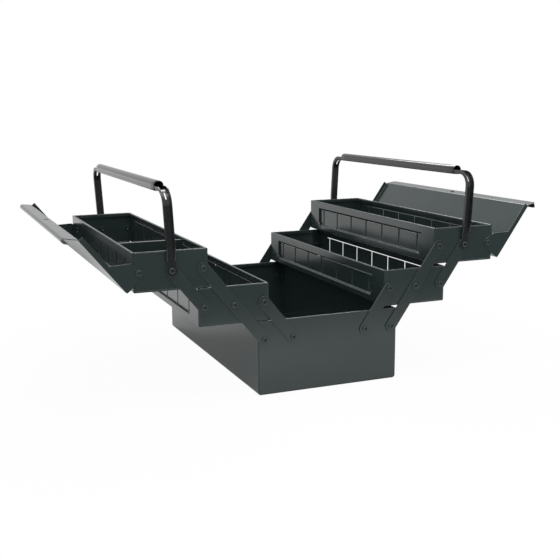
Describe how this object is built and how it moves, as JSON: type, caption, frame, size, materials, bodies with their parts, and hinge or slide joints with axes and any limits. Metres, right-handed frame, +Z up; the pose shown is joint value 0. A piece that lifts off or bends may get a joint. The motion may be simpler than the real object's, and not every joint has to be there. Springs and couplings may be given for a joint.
{
  "type": "cantilever tool box",
  "caption": "Folded-steel cantilever tool box, standing open: a deep base, trays that swing out on parallel arms, hinged lids with locking lips and swinging handles.",
  "frame": {"origin": "middle of the underside of the base", "axes": "+X across the width, the way the right-hand trays swing out; +Y along the length, from the front end in the picture to the rear; +Z up"},
  "size_m": [0.7131, 0.4454, 0.3039],
  "materials": {
    "box_paint": "glossy dark grey-green baked enamel on folded sheet steel",
    "arm_paint": "glossy dark enamel on flat steel arms",
    "handle_paint": "near-black glossy enamel on formed strip and rolled sleeve",
    "rivet_paint": "dark enamel over tubular rivets",
    "divider_sheet": "dark enamel on thin sheet"
  },
  "bodies": {
    "base": {"base_end_front": "box_paint", "base_end_rear": "box_paint", "base_rivets": "rivet_paint", "base_shell": "box_paint"},
    "right_long_arms": {"right_long_arm_front": "arm_paint", "right_long_arm_rear": "arm_paint"},
    "right_lower_arms": {"right_lower_arm_front": "arm_paint", "right_lower_arm_rear": "arm_paint"},
    "right_upper_arms": {"right_upper_arm_front": "arm_paint", "right_upper_arm_rear": "arm_paint"},
    "right_middle_tray": {"right_middle_tray_end_front": "box_paint", "right_middle_tray_end_rear": "box_paint", "right_middle_tray_rivets": "rivet_paint", "right_middle_tray_shell": "box_paint"},
    "right_top_tray": {"right_top_tray_end_front": "box_paint", "right_top_tray_end_rear": "box_paint", "right_top_tray_rivets": "rivet_paint", "right_top_tray_shell": "box_paint", "right_handle_rivets": "rivet_paint"},
    "right_lid": {"right_lid": "box_paint"},
    "right_handle": {"right_handle_grip": "handle_paint", "right_handle_strap": "handle_paint"},
    "left_long_arms": {"left_long_arm_front": "arm_paint", "left_long_arm_rear": "arm_paint"},
    "left_lower_arms": {"left_lower_arm_front": "arm_paint", "left_lower_arm_rear": "arm_paint"},
    "left_upper_arms": {"left_upper_arm_front": "arm_paint", "left_upper_arm_rear": "arm_paint"},
    "left_middle_tray": {"left_middle_tray_end_front": "box_paint", "left_middle_tray_end_rear": "box_paint", "left_middle_tray_rivets": "rivet_paint", "left_middle_tray_shell": "box_paint"},
    "left_top_tray": {"left_top_tray_end_front": "box_paint", "left_top_tray_end_rear": "box_paint", "left_top_tray_rivets": "rivet_paint", "left_top_tray_shell": "box_paint", "left_handle_rivets": "rivet_paint"},
    "left_lid": {"left_lid": "box_paint"},
    "left_handle": {"left_handle_grip": "handle_paint", "left_handle_strap": "handle_paint"},
    "left_divider": {"left_top_tray_divider": "divider_sheet"}
  },
  "joints": [
    {"name": "right_swing", "type": "hinge", "parent": "base", "child": "right_long_arms", "pos_m": [0.09813, 0, 0.0788], "axis": [0, -1, 0], "range_deg": [-4.2, 73.53]},
    {"name": "right_lower_arms", "type": "hinge", "parent": "base", "child": "right_lower_arms", "pos_m": [0.05583, 0, 0.0788], "axis": [0, -1, 0], "range_deg": [-4.2, 73.53]},
    {"name": "right_middle_tray", "type": "hinge", "parent": "right_long_arms", "child": "right_middle_tray", "pos_m": [0.13686, 0, 0.13469], "axis": [0, -1, 0], "range_deg": [-73.53, 4.2]},
    {"name": "right_top_tray", "type": "hinge", "parent": "right_long_arms", "child": "right_top_tray", "pos_m": [0.1756, 0, 0.19057], "axis": [0, -1, 0], "range_deg": [-73.53, 4.2]},
    {"name": "right_upper_arms", "type": "hinge", "parent": "right_middle_tray", "child": "right_upper_arms", "pos_m": [0.17916, 0, 0.13469], "axis": [0, -1, 0], "range_deg": [-4.2, 73.53]},
    {"name": "right_lid", "type": "hinge", "parent": "right_top_tray", "child": "right_lid", "pos_m": [0.26083, 0, 0.19057], "axis": [0, -1, 0], "range_deg": [-8, 125]},
    {"name": "right_handle", "type": "hinge", "parent": "right_top_tray", "child": "right_handle", "pos_m": [0.2179, 0, 0.19057], "axis": [0, -1, 0], "range_deg": [-57, 27]},
    {"name": "left_swing", "type": "hinge", "parent": "base", "child": "left_long_arms", "pos_m": [-0.09813, 0, 0.0788], "axis": [0, 1, 0], "range_deg": [0, 77.73]},
    {"name": "left_lower_arms", "type": "hinge", "parent": "base", "child": "left_lower_arms", "pos_m": [-0.05583, 0, 0.0788], "axis": [0, 1, 0], "range_deg": [0, 77.73]},
    {"name": "left_middle_tray", "type": "hinge", "parent": "left_long_arms", "child": "left_middle_tray", "pos_m": [-0.14085, 0, 0.1317], "axis": [0, 1, 0], "range_deg": [-77.73, 0]},
    {"name": "left_top_tray", "type": "hinge", "parent": "left_long_arms", "child": "left_top_tray", "pos_m": [-0.18358, 0, 0.1846], "axis": [0, 1, 0], "range_deg": [-77.73, 0]},
    {"name": "left_upper_arms", "type": "hinge", "parent": "left_middle_tray", "child": "left_upper_arms", "pos_m": [-0.18315, 0, 0.1317], "axis": [0, 1, 0], "range_deg": [0, 77.73]},
    {"name": "left_lid", "type": "hinge", "parent": "left_top_tray", "child": "left_lid", "pos_m": [-0.26881, 0, 0.1846], "axis": [0, 1, 0], "range_deg": [-4, 129]},
    {"name": "left_handle", "type": "hinge", "parent": "left_top_tray", "child": "left_handle", "pos_m": [-0.22588, 0, 0.1846], "axis": [0, 1, 0], "range_deg": [-57, 27]},
    {"name": "left_divider_lift", "type": "slide", "parent": "left_top_tray", "child": "left_divider", "axis": [0, 0, -1], "range_m": [-0.055, 0]}
  ],
  "couplings": [
    {"joint": "right_lower_arms", "follows": "right_swing", "ratio": 1},
    {"joint": "right_middle_tray", "follows": "right_swing", "ratio": -1},
    {"joint": "right_top_tray", "follows": "right_swing", "ratio": -1},
    {"joint": "right_upper_arms", "follows": "right_swing", "ratio": 1},
    {"joint": "left_lower_arms", "follows": "left_swing", "ratio": 1},
    {"joint": "left_middle_tray", "follows": "left_swing", "ratio": -1},
    {"joint": "left_top_tray", "follows": "left_swing", "ratio": -1},
    {"joint": "left_upper_arms", "follows": "left_swing", "ratio": 1}
  ]
}
